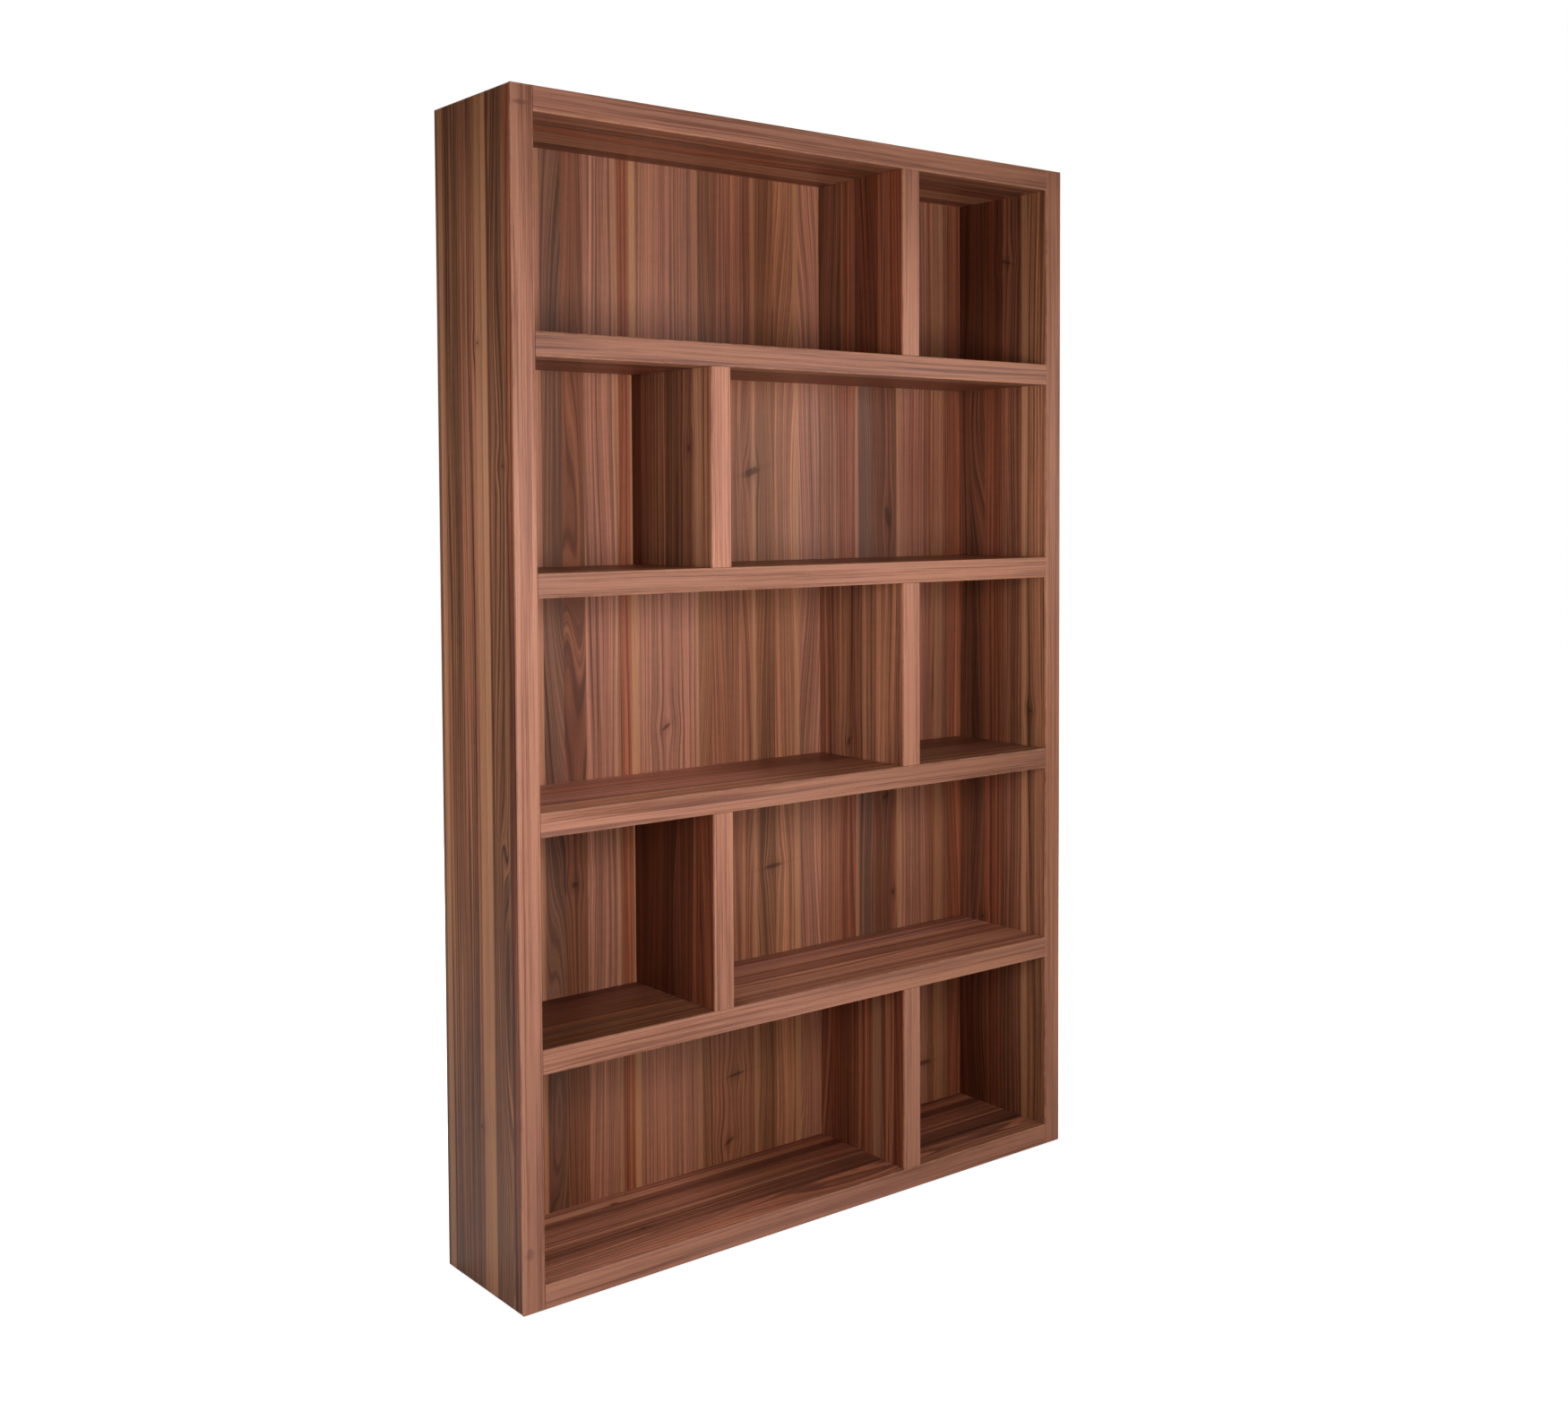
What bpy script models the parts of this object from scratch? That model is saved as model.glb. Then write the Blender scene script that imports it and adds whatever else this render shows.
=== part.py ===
"""A tall open bookcase with five rows, each row split into a small and a large compartment.

Every board has the same thickness. The sides run the full height, and the top, the bottom and the
shelves are fitted between them. The dividers stand between the shelves. Loose tongues in stopped
grooves hold the joints. A solid lipping covers the front edge of every board. The back panel sits
in a rebate, flush with the rear, and the bookcase stands on nail-on glides.

The origin is on the floor, under the middle of the bookcase: +X is its right, +Y its back, +Z up.
"""

import math

import bmesh
import bpy

# Driving dimensions, in metres.
WIDTH = 1.400
DEPTH = 0.285
HEIGHT = 2.200
BOARD = 0.045  # thickness of the sides, top, bottom, shelves and dividers
ROWS = 5
LIPPING = 0.006  # depth of the solid strip on a board's front edge
BACK = 0.008  # thickness of the back panel
REBATE = 0.012  # how far the back panel reaches into the boards around it
ARRIS = 0.0015  # round-over on the edges that a hand meets
GAP = 0.0003  # clearance between two pieces that meet

TONGUE_THICKNESS = 0.010
TONGUE_REACH = 0.012  # how far a tongue goes into each of its two boards
TONGUE_LENGTH = 0.190

GLIDE_HEIGHT = 0.003
GLIDE_RADIUS = 0.013
GLIDE_EDGE = 0.0008  # chamfer under the rim of a glide
NAIL_RADIUS = 0.0015
NAIL_LENGTH = 0.016
NAIL_TIP = 0.003
GLIDE_INSET = 0.040  # from the front and the rear to a glide's centre
ROUND_STEPS = 24

# The planes that the boards lie against.
LEFT = -WIDTH / 2
RIGHT = WIDTH / 2
FRONT = -DEPTH / 2
REAR = DEPTH / 2
BASE = GLIDE_HEIGHT
INNER_LEFT = LEFT + BOARD
INNER_RIGHT = RIGHT - BOARD
BOARD_FRONT = FRONT + LIPPING + GAP
BACK_FACE = REAR - BACK
BOARD_REAR = BACK_FACE - GAP  # rear edge of the boards that the back panel covers
ROW_CLEAR = (HEIGHT - BASE - (ROWS + 1) * BOARD) / ROWS
PAST = 0.005  # how far a cutter reaches past the face that it opens

TONGUE_FRONT = (BOARD_FRONT + BOARD_REAR - TONGUE_LENGTH) / 2
TONGUE_REAR = TONGUE_FRONT + TONGUE_LENGTH

# Linear colour, roughness and metallic value of each kind of piece.
FINISHES = {
    "board": ((0.110, 0.046, 0.024), 0.45, 0.0),
    "lipping": ((0.255, 0.125, 0.082), 0.42, 0.0),
    "back": ((0.128, 0.055, 0.029), 0.48, 0.0),
    "tongue": ((0.520, 0.340, 0.190), 0.65, 0.0),
    "glide": ((0.035, 0.030, 0.027), 0.50, 0.0),
}

X, Y, Z = range(3)


def clear_scene():
    for thing in list(bpy.data.objects):
        bpy.data.objects.remove(thing)


def add_piece(name, shape, centre, kind):
    """Makes an object of a bmesh that is modelled about its own origin, with a material of its own."""
    mesh = bpy.data.meshes.new(name)
    shape.to_mesh(mesh)
    shape.free()
    piece = bpy.data.objects.new(name, mesh)
    piece.location = centre
    bpy.context.scene.collection.objects.link(piece)

    colour, roughness, metallic = FINISHES[kind]
    material = bpy.data.materials.new(name)
    material.use_nodes = True
    surface = material.node_tree.nodes["Principled BSDF"]
    surface.inputs["Base Color"].default_value = (*colour, 1.0)
    surface.inputs["Roughness"].default_value = roughness
    surface.inputs["Metallic"].default_value = metallic
    mesh.materials.append(material)
    return piece


def add_box(shape, low, high):
    """Adds a box between two opposite corners to a bmesh."""
    corners = bmesh.ops.create_cube(shape, size=1)["verts"]
    size = [b - a for a, b in zip(low, high)]
    middle = [(a + b) / 2 for a, b in zip(low, high)]
    bmesh.ops.scale(shape, vec=size, verts=corners)
    bmesh.ops.translate(shape, vec=middle, verts=corners)


def on_face(edge, face, half_size):
    """True where an edge of a centred box lies in one of its faces, such as (Y, -1) for the front."""
    axis, side = face
    return all(vertex.co[axis] * side > half_size[axis] * 0.99 for vertex in edge.verts)


def board(name, low, high, kind, eased=()):
    """A board between two opposite corners. eased holds the pairs of faces whose shared edge is rounded."""
    half_size = [(b - a) / 2 for a, b in zip(low, high)]
    centre = [(a + b) / 2 for a, b in zip(low, high)]
    shape = bmesh.new()
    add_box(shape, [-h for h in half_size], half_size)
    edges = [
        edge
        for edge in shape.edges
        for first, second in eased
        if on_face(edge, first, half_size) and on_face(edge, second, half_size)
    ]
    if edges:
        bmesh.ops.bevel(
            shape, geom=edges, offset=ARRIS, segments=2, profile=0.5, affect="EDGES"
        )
    return add_piece(name, shape, centre, kind)


def cut(piece, boxes, nail_holes=()):
    """Cuts grooves and rebates, and holes for the nails of the glides, out of a board."""
    shape = bmesh.new()
    for low, high in boxes:
        add_box(shape, low, high)
    for x, y in nail_holes:
        depth = NAIL_LENGTH + GAP + PAST
        hole = bmesh.ops.create_cone(
            shape,
            cap_ends=True,
            segments=ROUND_STEPS,
            radius1=NAIL_RADIUS + GAP,
            radius2=NAIL_RADIUS + GAP,
            depth=depth,
        )["verts"]
        bmesh.ops.translate(shape, vec=(x, y, BASE - PAST + depth / 2), verts=hole)
    mesh = bpy.data.meshes.new(piece.name + "_cutter")
    shape.to_mesh(mesh)
    shape.free()
    cutter = bpy.data.objects.new(piece.name + "_cutter", mesh)
    cutter.hide_render = True
    cutter.display_type = "WIRE"
    bpy.context.scene.collection.objects.link(cutter)
    grooves = piece.modifiers.new("grooves", "BOOLEAN")
    grooves.operation = "DIFFERENCE"
    grooves.object = cutter


def shelf_level(index):
    """Height of the underside of a level board: 0 is the bottom panel, ROWS is the top panel."""
    return BASE + index * (BOARD + ROW_CLEAR)


def level_name(index):
    if index == 0:
        return "bottom_panel"
    if index == ROWS:
        return "top_panel"
    return f"shelf_{index}"


def divider_left_face(row):
    """The small compartment is square, and it is on the right in odd rows and on the left in even ones."""
    if row % 2:
        return INNER_RIGHT - ROW_CLEAR - BOARD
    return INNER_LEFT + ROW_CLEAR


def end_groove(face, toward, level):
    """Groove for a tongue that lies level, opened at the plane x = face, going toward -1 or +1."""
    inside = face + toward * (TONGUE_REACH + GAP)
    outside = face - toward * PAST
    half = TONGUE_THICKNESS / 2 + GAP
    middle = level + BOARD / 2
    return (
        (min(inside, outside), TONGUE_FRONT - GAP, middle - half),
        (max(inside, outside), TONGUE_REAR + GAP, middle + half),
    )


def upright_groove(row, face, toward):
    """Groove for a tongue that stands up, opened at the plane z = face, going toward -1 or +1."""
    inside = face + toward * (TONGUE_REACH + GAP)
    outside = face - toward * PAST
    half = TONGUE_THICKNESS / 2 + GAP
    middle = divider_left_face(row) + BOARD / 2
    return (
        (middle - half, TONGUE_FRONT - GAP, min(inside, outside)),
        (middle + half, TONGUE_REAR + GAP, max(inside, outside)),
    )


def glide_places():
    """Side of the bookcase, end of the board and centre of each glide."""
    for side, x in (
        ("left", LEFT + BOARD / 2),
        ("middle", 0.0),
        ("right", RIGHT - BOARD / 2),
    ):
        yield side, "front", x, FRONT + GLIDE_INSET
        yield side, "rear", x, REAR - GLIDE_INSET


def nail_holes(side):
    return [(x, y) for name, _, x, y in glide_places() if name == side]


def add_sides():
    for side, low_x, inner_face, outward in (
        ("left", LEFT, INNER_LEFT, -1),
        ("right", INNER_RIGHT, INNER_RIGHT, 1),
    ):
        panel = board(
            f"side_panel_{side}",
            (low_x, BOARD_FRONT, BASE),
            (low_x + BOARD, REAR, HEIGHT),
            "board",
            eased=[((X, outward), (Z, 1)), ((X, outward), (Z, -1)), ((X, outward), (Y, 1))],
        )
        seat = inner_face + outward * REBATE
        mouth = inner_face - outward * PAST
        rebate = (
            (min(seat, mouth), BOARD_REAR, BASE + BOARD - REBATE),
            (max(seat, mouth), REAR + PAST, HEIGHT - BOARD + REBATE),
        )
        grooves = [
            end_groove(inner_face, outward, shelf_level(index))
            for index in range(ROWS + 1)
        ]
        cut(panel, [rebate, *grooves], nail_holes(side))


def add_level_board(index):
    """The bottom panel, a shelf or the top panel, with the grooves for its ends and its dividers."""
    level = shelf_level(index)
    inner_ends = (INNER_LEFT + GAP, INNER_RIGHT - GAP)
    outermost = index in (0, ROWS)
    eased = {0: [((Z, -1), (Y, 1))], ROWS: [((Z, 1), (Y, 1))]}
    panel = board(
        level_name(index),
        (inner_ends[0], BOARD_FRONT, level),
        (inner_ends[1], REAR if outermost else BOARD_REAR, level + BOARD),
        "board",
        eased=eased.get(index, ()),
    )
    boxes = [end_groove(inner_ends[0], 1, level), end_groove(inner_ends[1], -1, level)]
    if index > 0:
        boxes.append(upright_groove(index, level, 1))
    if index < ROWS:
        boxes.append(upright_groove(index + 1, level + BOARD, -1))
    if outermost:
        low_z, high_z = (
            (level + BOARD - REBATE, level + BOARD + PAST)
            if index == 0
            else (level - PAST, level + REBATE)
        )
        boxes.append(
            (
                (INNER_LEFT - PAST, BOARD_REAR, low_z),
                (INNER_RIGHT + PAST, REAR + PAST, high_z),
            )
        )
    cut(panel, boxes, nail_holes("middle") if index == 0 else ())


def add_divider(row):
    left = divider_left_face(row)
    foot = shelf_level(row - 1) + BOARD + GAP
    head = shelf_level(row) - GAP
    panel = board(
        f"divider_{row}",
        (left, BOARD_FRONT, foot),
        (left + BOARD, BOARD_REAR, head),
        "board",
    )
    cut(panel, [upright_groove(row, foot, 1), upright_groove(row, head, -1)])


def add_back_panel():
    board(
        "back_panel",
        (INNER_LEFT - REBATE + GAP, BACK_FACE, BASE + BOARD - REBATE + GAP),
        (INNER_RIGHT + REBATE - GAP, REAR, HEIGHT - BOARD + REBATE - GAP),
        "back",
    )


def add_lippings():
    """The sides' lippings run the full height, and the others end against the ones that they meet."""
    front_faces = [((Y, -1), (X, 1)), ((Y, -1), (X, -1)), ((Y, -1), (Z, 1)), ((Y, -1), (Z, -1))]
    across_x = front_faces[:2]
    across_z = front_faces[2:]
    rear = FRONT + LIPPING
    for side, low_x in (("left", LEFT), ("right", INNER_RIGHT)):
        board(
            f"lipping_side_{side}",
            (low_x, FRONT, BASE),
            (low_x + BOARD, rear, HEIGHT),
            "lipping",
            eased=front_faces,
        )
    for index in range(ROWS + 1):
        level = shelf_level(index)
        board(
            f"lipping_{level_name(index)}",
            (INNER_LEFT + GAP, FRONT, level),
            (INNER_RIGHT - GAP, rear, level + BOARD),
            "lipping",
            eased=across_z,
        )
    for row in range(1, ROWS + 1):
        left = divider_left_face(row)
        board(
            f"lipping_divider_{row}",
            (left, FRONT, shelf_level(row - 1) + BOARD + GAP),
            (left + BOARD, rear, shelf_level(row) - GAP),
            "lipping",
            eased=across_x,
        )


def add_tongue(name, low, high):
    tongue = board(name, low, high, "tongue")
    ends = tongue.modifiers.new("ends", "BEVEL")
    ends.width = 0.001
    ends.segments = 1


def add_tongues():
    half = TONGUE_THICKNESS / 2
    for index in range(ROWS + 1):
        middle = shelf_level(index) + BOARD / 2
        for side, face in (("left", INNER_LEFT), ("right", INNER_RIGHT)):
            add_tongue(
                f"tongue_{level_name(index)}_{side}",
                (face - TONGUE_REACH, TONGUE_FRONT, middle - half),
                (face + TONGUE_REACH, TONGUE_REAR, middle + half),
            )
    for row in range(1, ROWS + 1):
        middle = divider_left_face(row) + BOARD / 2
        for end, face in (("foot", shelf_level(row - 1) + BOARD), ("head", shelf_level(row))):
            add_tongue(
                f"tongue_divider_{row}_{end}",
                (middle - half, TONGUE_FRONT, face - TONGUE_REACH),
                (middle + half, TONGUE_REAR, face + TONGUE_REACH),
            )


def add_glides():
    """Each glide is a plastic disc with its nail, turned about an upright axis."""
    disc_top = GLIDE_HEIGHT - GAP
    nail_end = disc_top + NAIL_LENGTH
    profile = [
        (0.0, 0.0),
        (GLIDE_RADIUS - GLIDE_EDGE, 0.0),
        (GLIDE_RADIUS, GLIDE_EDGE),
        (GLIDE_RADIUS, disc_top),
        (NAIL_RADIUS, disc_top),
        (NAIL_RADIUS, nail_end - NAIL_TIP),
        (0.0, nail_end),
    ]
    for side, end, x, y in glide_places():
        shape = bmesh.new()
        points = [shape.verts.new((radius, 0.0, z)) for radius, z in profile]
        lines = [shape.edges.new(pair) for pair in zip(points, points[1:])]
        bmesh.ops.spin(
            shape,
            geom=points + lines,
            cent=(0, 0, 0),
            axis=(0, 0, 1),
            angle=2 * math.pi,
            steps=ROUND_STEPS,
        )
        bmesh.ops.remove_doubles(shape, verts=shape.verts, dist=1e-6)
        bmesh.ops.recalc_face_normals(shape, faces=shape.faces)
        glide = add_piece(f"glide_{side}_{end}", shape, (x, y, 0.0), "glide")
        glide.data.shade_smooth()
        glide.data.set_sharp_from_angle(angle=math.radians(35))


clear_scene()
add_sides()
for level_index in range(ROWS + 1):
    add_level_board(level_index)
for row_number in range(1, ROWS + 1):
    add_divider(row_number)
add_back_panel()
add_lippings()
add_tongues()
add_glides()
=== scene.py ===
"""The looks of the walnut bookcase: veneered boards, solid front strips, back panel, screws and glides.

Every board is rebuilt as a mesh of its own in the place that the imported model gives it, with finely
rounded edges, and each of its faces carries its own veneer. Grain, knots, sapwood, lacquer and worn
edges are worked out by shader nodes from the position on the bookcase, in metres.
"""

import math
import random

import bmesh
import bpy
from mathutils import Matrix, Vector


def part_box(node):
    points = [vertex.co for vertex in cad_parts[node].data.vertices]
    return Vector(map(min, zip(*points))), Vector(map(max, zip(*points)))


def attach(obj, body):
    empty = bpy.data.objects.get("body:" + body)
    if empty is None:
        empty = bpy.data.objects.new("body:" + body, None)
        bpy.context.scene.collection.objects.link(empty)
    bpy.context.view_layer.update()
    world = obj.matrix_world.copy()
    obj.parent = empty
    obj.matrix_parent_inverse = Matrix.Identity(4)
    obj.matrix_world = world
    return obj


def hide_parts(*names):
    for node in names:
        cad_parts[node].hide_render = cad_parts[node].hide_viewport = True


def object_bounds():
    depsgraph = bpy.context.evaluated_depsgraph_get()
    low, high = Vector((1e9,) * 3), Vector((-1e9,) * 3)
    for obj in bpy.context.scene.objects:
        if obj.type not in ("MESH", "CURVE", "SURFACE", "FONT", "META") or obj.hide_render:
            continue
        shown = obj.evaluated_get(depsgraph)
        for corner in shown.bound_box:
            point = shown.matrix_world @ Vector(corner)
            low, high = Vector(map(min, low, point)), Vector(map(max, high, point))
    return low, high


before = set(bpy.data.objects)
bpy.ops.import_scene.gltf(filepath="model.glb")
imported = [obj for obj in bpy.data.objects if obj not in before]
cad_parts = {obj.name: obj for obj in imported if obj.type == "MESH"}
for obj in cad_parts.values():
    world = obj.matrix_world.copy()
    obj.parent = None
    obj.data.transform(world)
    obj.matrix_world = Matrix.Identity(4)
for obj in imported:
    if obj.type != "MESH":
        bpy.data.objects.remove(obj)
cad_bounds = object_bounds()

AXES = range(3)
X, Y, Z = AXES
MM = 0.001
TINY = 1e-6  # below this, two places are the same

# ------------------------ sizes, in metres
LOW, HIGH = cad_bounds
LEFT, RIGHT = LOW.x, HIGH.x
FRONT, REAR = LOW.y, HIGH.y
INNER_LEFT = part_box("side_panel_left")[1].x
INNER_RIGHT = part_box("side_panel_right")[0].x
SPANS = {X: (INNER_LEFT, INNER_RIGHT), Y: (FRONT, REAR), Z: (LOW.z, HIGH.z)}  # what the veneer fills

LEVEL_BOARDS = ["bottom_panel", "shelf_1", "shelf_2", "shelf_3", "shelf_4", "top_panel"]
DIVIDERS = [f"divider_{row}" for row in range(1, 6)]

ROUND_OVER = 1.5 * MM  # on the edges that a hand meets
MICRO_EDGE = 0.25 * MM  # on the edges that lie against another board
EDGE_BAND = 5.0 * MM  # how far worn lacquer reaches from an edge
SHARP_ANGLE = math.radians(32)  # the shading stays smooth where faces meet at less than this
GROOVE_SLACK = 0.3 * MM  # round each tongue and round the back panel
REBATE_RUN_OUT = 5.0 * MM  # how far the cut for the back panel runs on behind it
WIDEST_BEND = 9.0 * MM  # the half width beyond which a knot bends the grain no further

SCREW_RADIUS = 4.0 * MM
SCREW_SHANK = 1.7 * MM  # radius under the head
SCREW_DEPTH = 2.4 * MM  # of the head
SCREW_INSET = 6.0 * MM  # from the edge of the back panel
SCREW_COLUMNS = 5
SCREW_TURN = 1.1  # radians from one screw's cross to the next one's
SINK_GAP = 0.2 * MM  # round each screw

DISC_HEIGHT = 2.7 * MM  # of a glide
DISC_RIM = 1.1 * MM  # radius of the rounding below
NAIL_RADIUS = 1.5 * MM
NAIL_POINT = 3.0 * MM

# ------------------------ colours of walnut, linear
TONES = {
    "sand": (0.370, 0.168, 0.090),
    "rose": (0.300, 0.123, 0.077),
    "warm": (0.306, 0.125, 0.066),
    "mid": (0.248, 0.093, 0.050),
    "red": (0.232, 0.071, 0.035),
    "olive": (0.205, 0.082, 0.041),
    "umber": (0.168, 0.060, 0.032),
    "maroon": (0.165, 0.043, 0.019),
    "grey": (0.152, 0.066, 0.040),
    "dark": (0.105, 0.025, 0.010),
}
COMMON_TONES = ("mid", "umber", "rose", "red", "warm", "olive", "grey")
CALM_TONES = ("mid", "umber", "olive", "warm")
SAPWOOD = (0.500, 0.232, 0.120)
LATE_WOOD = (0.045, 0.015, 0.010)
KNOT = (0.040, 0.014, 0.008)
LIPPING_LIGHT = (0.480, 0.208, 0.130)
LIPPING_DARK = (0.235, 0.086, 0.049)
LIPPING_STREAK = (0.130, 0.050, 0.042)

# These multiply another colour.
REDDISH = (1.02, 0.975, 0.97)
GOLDEN = (1.00, 1.00, 0.97)
GREYISH = (0.985, 0.995, 1.01)
LIPPING_RIGHT_SHADE = (0.96, 0.89, 0.76)  # painted shade on the front strips, more and more towards the right: warmer and darker where less light and sheen reach them
DEEP_SHADE = (0.60, 0.38, 0.36)  # painted shade, multiplied in where the corners lie deepest in shade

BRIGHTEST = 2.5  # the most that a fade may brighten
DARKER_POWERS = (0.87, 1.08, 1.50)  # of a fade's brightness, for red, green and blue
LIGHTER_POWERS = (0.95, 1.03, 1.20)

# ------------------------ layout of the veneer, in millimetres
SOFT_EDGE = 2.5  # of a sapwood streak
STOP_GAP = 0.01  # keeps the stops of a narrow streak apart
STREAKS_PER_RAMP = 7
SAPWOOD_CHANCE = 0.45  # at each joint of a face that nothing prescribes
SAPWOOD_MARGIN = 15  # without sapwood at such a face's far edge
DEPTH_TO_FILL = 290
WIDTH_TO_FILL = 1320
REAR_EDGE = (REAR - FRONT) / MM  # measured from the front edge


# ------------------------ a short way to write node formulas
class Value:
    """A number at each point of a surface. Arithmetic on it adds math nodes."""

    def __init__(self, graph, socket):
        self.graph = graph
        self.socket = socket

    def __add__(self, other):
        return self.graph.math("ADD", self, other)

    def __radd__(self, other):
        return self.graph.math("ADD", other, self)

    def __sub__(self, other):
        return self.graph.math("SUBTRACT", self, other)

    def __mul__(self, other):
        return self.graph.math("MULTIPLY", self, other)

    def __truediv__(self, other):
        return self.graph.math("DIVIDE", self, other)

    def __pow__(self, other):
        return self.graph.math("POWER", self, other)


class Graph:
    """Adds nodes to one material and joins them."""

    def __init__(self, name):
        self.material = bpy.data.materials.new(name)
        self.material.use_nodes = True
        self.tree = self.material.node_tree
        self.surface = self.tree.nodes["Principled BSDF"]

    def node(self, kind, **settings):
        made = self.tree.nodes.new("ShaderNode" + kind)
        for key, value in settings.items():
            setattr(made, key, value)
        return made

    def plug(self, socket, value):
        if isinstance(value, Value):
            value = value.socket
        if isinstance(value, bpy.types.NodeSocket):
            self.tree.links.new(value, socket)
        else:
            socket.default_value = value

    def math(self, operation, *values):
        made = self.node("Math", operation=operation)
        for socket, value in zip(made.inputs, values):
            self.plug(socket, value)
        return Value(self, made.outputs[0])

    def position(self):
        """The three coordinates of the point, in the bookcase's own frame."""
        split = self.node("SeparateXYZ")
        self.plug(split.inputs[0], self.node("TexCoord").outputs["Object"])
        return [Value(self, output) for output in split.outputs]

    def attribute(self, name):
        return Value(self, self.node("Attribute", attribute_name=name).outputs["Fac"])

    def vector(self, x, y, z):
        made = self.node("CombineXYZ")
        for socket, value in zip(made.inputs, (x, y, z)):
            self.plug(socket, value)
        return made.outputs[0]

    def noise(self, x, y, z, detail=2.0, roughness=0.5):
        """Smooth noise from 0 to 1 with one feature for each unit of x, y and z."""
        made = self.node("TexNoise")
        self.plug(made.inputs["Vector"], self.vector(x, y, z))
        made.inputs["Scale"].default_value = 1.0
        made.inputs["Detail"].default_value = detail
        made.inputs["Roughness"].default_value = roughness
        return Value(self, made.outputs["Fac"])

    def wave(self, turns):
        """A smooth wave from -1 to 1 that repeats with every whole number."""
        return self.math("SINE", turns * math.tau)

    def between(self, value, low, high):
        """0 below low, 1 above high, and a smooth rise between them."""
        made = self.node("MapRange", interpolation_type="SMOOTHSTEP")
        self.plug(made.inputs["Value"], value)
        self.plug(made.inputs["From Min"], low)
        self.plug(made.inputs["From Max"], high)
        return Value(self, made.outputs["Result"])

    def hill(self, x, y):
        """1 where x and y are 0, and smoothly less the further they are from it."""
        return self.math("POWER", math.exp(-1), x * x + y * y)

    def ramp(self, value, stops, interpolation="LINEAR"):
        """A colour that depends on value. stops are (position from 0 to 1, colour) in rising order."""
        made = self.node("ValToRGB")
        made.color_ramp.interpolation = interpolation
        elements = made.color_ramp.elements
        elements.remove(elements[1])
        for index, (place, colour) in enumerate(stops):
            element = elements[0] if index == 0 else elements.new(place)
            element.position = place
            element.color = (*colour, 1.0)
        self.plug(made.inputs[0], value)
        return made.outputs[0]

    def blend(self, factor, first, second, how="MIX"):
        """Mixes two colours."""
        made = self.node("Mix", data_type="RGBA", blend_type=how)
        for index, value in ((0, factor), (6, first), (7, second)):  # 6 and 7 are the colours
            if isinstance(value, tuple):
                value = (*value, 1.0)
            self.plug(made.inputs[index], value)
        return made.outputs[2]

    def multiply(self, first, second):
        """Multiplies two colours."""
        return self.blend(1.0, first, second, "MULTIPLY")

    def tint(self, colour, factor):
        """Brightens or darkens a colour by a number."""
        made = self.node("VectorMath", operation="SCALE")
        self.plug(made.inputs[0], colour)
        self.plug(made.inputs["Scale"], factor)
        return made.outputs[0]

    def bump(self, height, distance, strength):
        made = self.node("Bump")
        made.inputs["Strength"].default_value = strength
        made.inputs["Distance"].default_value = distance
        self.plug(made.inputs["Height"], height)
        self.plug(self.surface.inputs["Normal"], made.outputs[0])

    def set(self, **values):
        """Sets sockets of the surface shader, with _ for a space in a socket's name."""
        for name, value in values.items():
            if isinstance(value, tuple):
                value = (*value, 1.0)
            self.plug(self.surface.inputs[name.replace("_", " ")], value)


def bend_round_knot(graph, across, along, knot):
    """How far a knot pushes the grain aside, in metres, and how dark the wood is there, from 0 to 1."""
    centre, height, half_width, half_height, tilt = knot
    aside = across - centre
    above = along - height
    slanted = above - aside * tilt
    bent = min(half_width, WIDEST_BEND)

    near = graph.hill(aside / (bent * 2.4 + 6 * MM), above / (half_height * 2.0 + 26 * MM))
    shift = aside * near * 0.60

    ragged = (graph.noise(across * 190, along * 190, 3.0) - 0.5) * 1.4
    r = aside / half_width
    s = slanted / half_height
    heart = graph.between(r * r + s * s + ragged, 1.5, 0.1) * 0.74
    tail = graph.hill(aside / (half_width * 2.4), slanted / (half_height * 0.7)) * 0.20
    halo = graph.hill(aside / (bent * 1.7 + 4 * MM), slanted / (half_height * 1.6 + 9 * MM)) * 0.26
    dark = graph.math("MAXIMUM", heart, graph.math("MAXIMUM", tail, halo))
    return shift, dark


def sapwood_bands(graph, place, streaks, length):
    """How much sapwood there is at a place across the grain.

    Neighbouring streaks may touch, so they take turns between colour ramps of a few streaks each.
    """
    ordered = sorted(streaks)
    ramps = 1 if len(ordered) == 1 else max(2, math.ceil(len(ordered) / STREAKS_PER_RAMP))
    total = None
    for first in range(ramps):
        stops = []
        for middle, width, strength in ordered[first::ramps]:
            half = width / 2
            soft = min(SOFT_EDGE, half)
            stops += [
                (middle - half - soft, 0.0),
                (middle - half + soft, strength),
                (middle + half - soft + STOP_GAP, strength),
                (middle + half + soft, 0.0),
            ]
        stops = [(edge * MM / length, (amount,) * 3) for edge, amount in stops]
        band = Value(graph, graph.ramp(place, stops, "EASE"))
        total = band if total is None else graph.math("MAXIMUM", total, band)
    return total


def paint_light_along(graph, colour, place, origin, painted_light, hue):
    """Paints light and shade into a colour, smoothly along the grain.

    painted_light is (millimetres from the origin, brightness), in rising order. Places in painted shade
    turn redder and places in painted light paler, and hue says how strongly.
    """
    first, last = painted_light[0][0], painted_light[-1][0]
    stops = []
    for at, amount in painted_light:
        powers = DARKER_POWERS if amount < 1 else LIGHTER_POWERS
        shade = tuple(amount ** (1 + (power - 1) * hue) / BRIGHTEST for power in powers)
        stops.append(((at - first) / (last - first), shade))
    fade = graph.ramp((place - (origin + first * MM)) / ((last - first) * MM), stops, "EASE")
    return graph.tint(graph.multiply(colour, fade), BRIGHTEST)


def rubbed_edges(graph, colour, position):
    """Lightens a colour where the lacquer has worn at an edge. Also returns how worn the point is."""
    x, y, z = position
    patches = graph.noise(x * 38.0, y * 38.0, z * 38.0, detail=3.0)
    wear = graph.attribute("edge") ** 2.0 * graph.between(patches, 0.38, 0.62)
    return graph.blend(wear * 0.35, colour, SAPWOOD), wear


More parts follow.
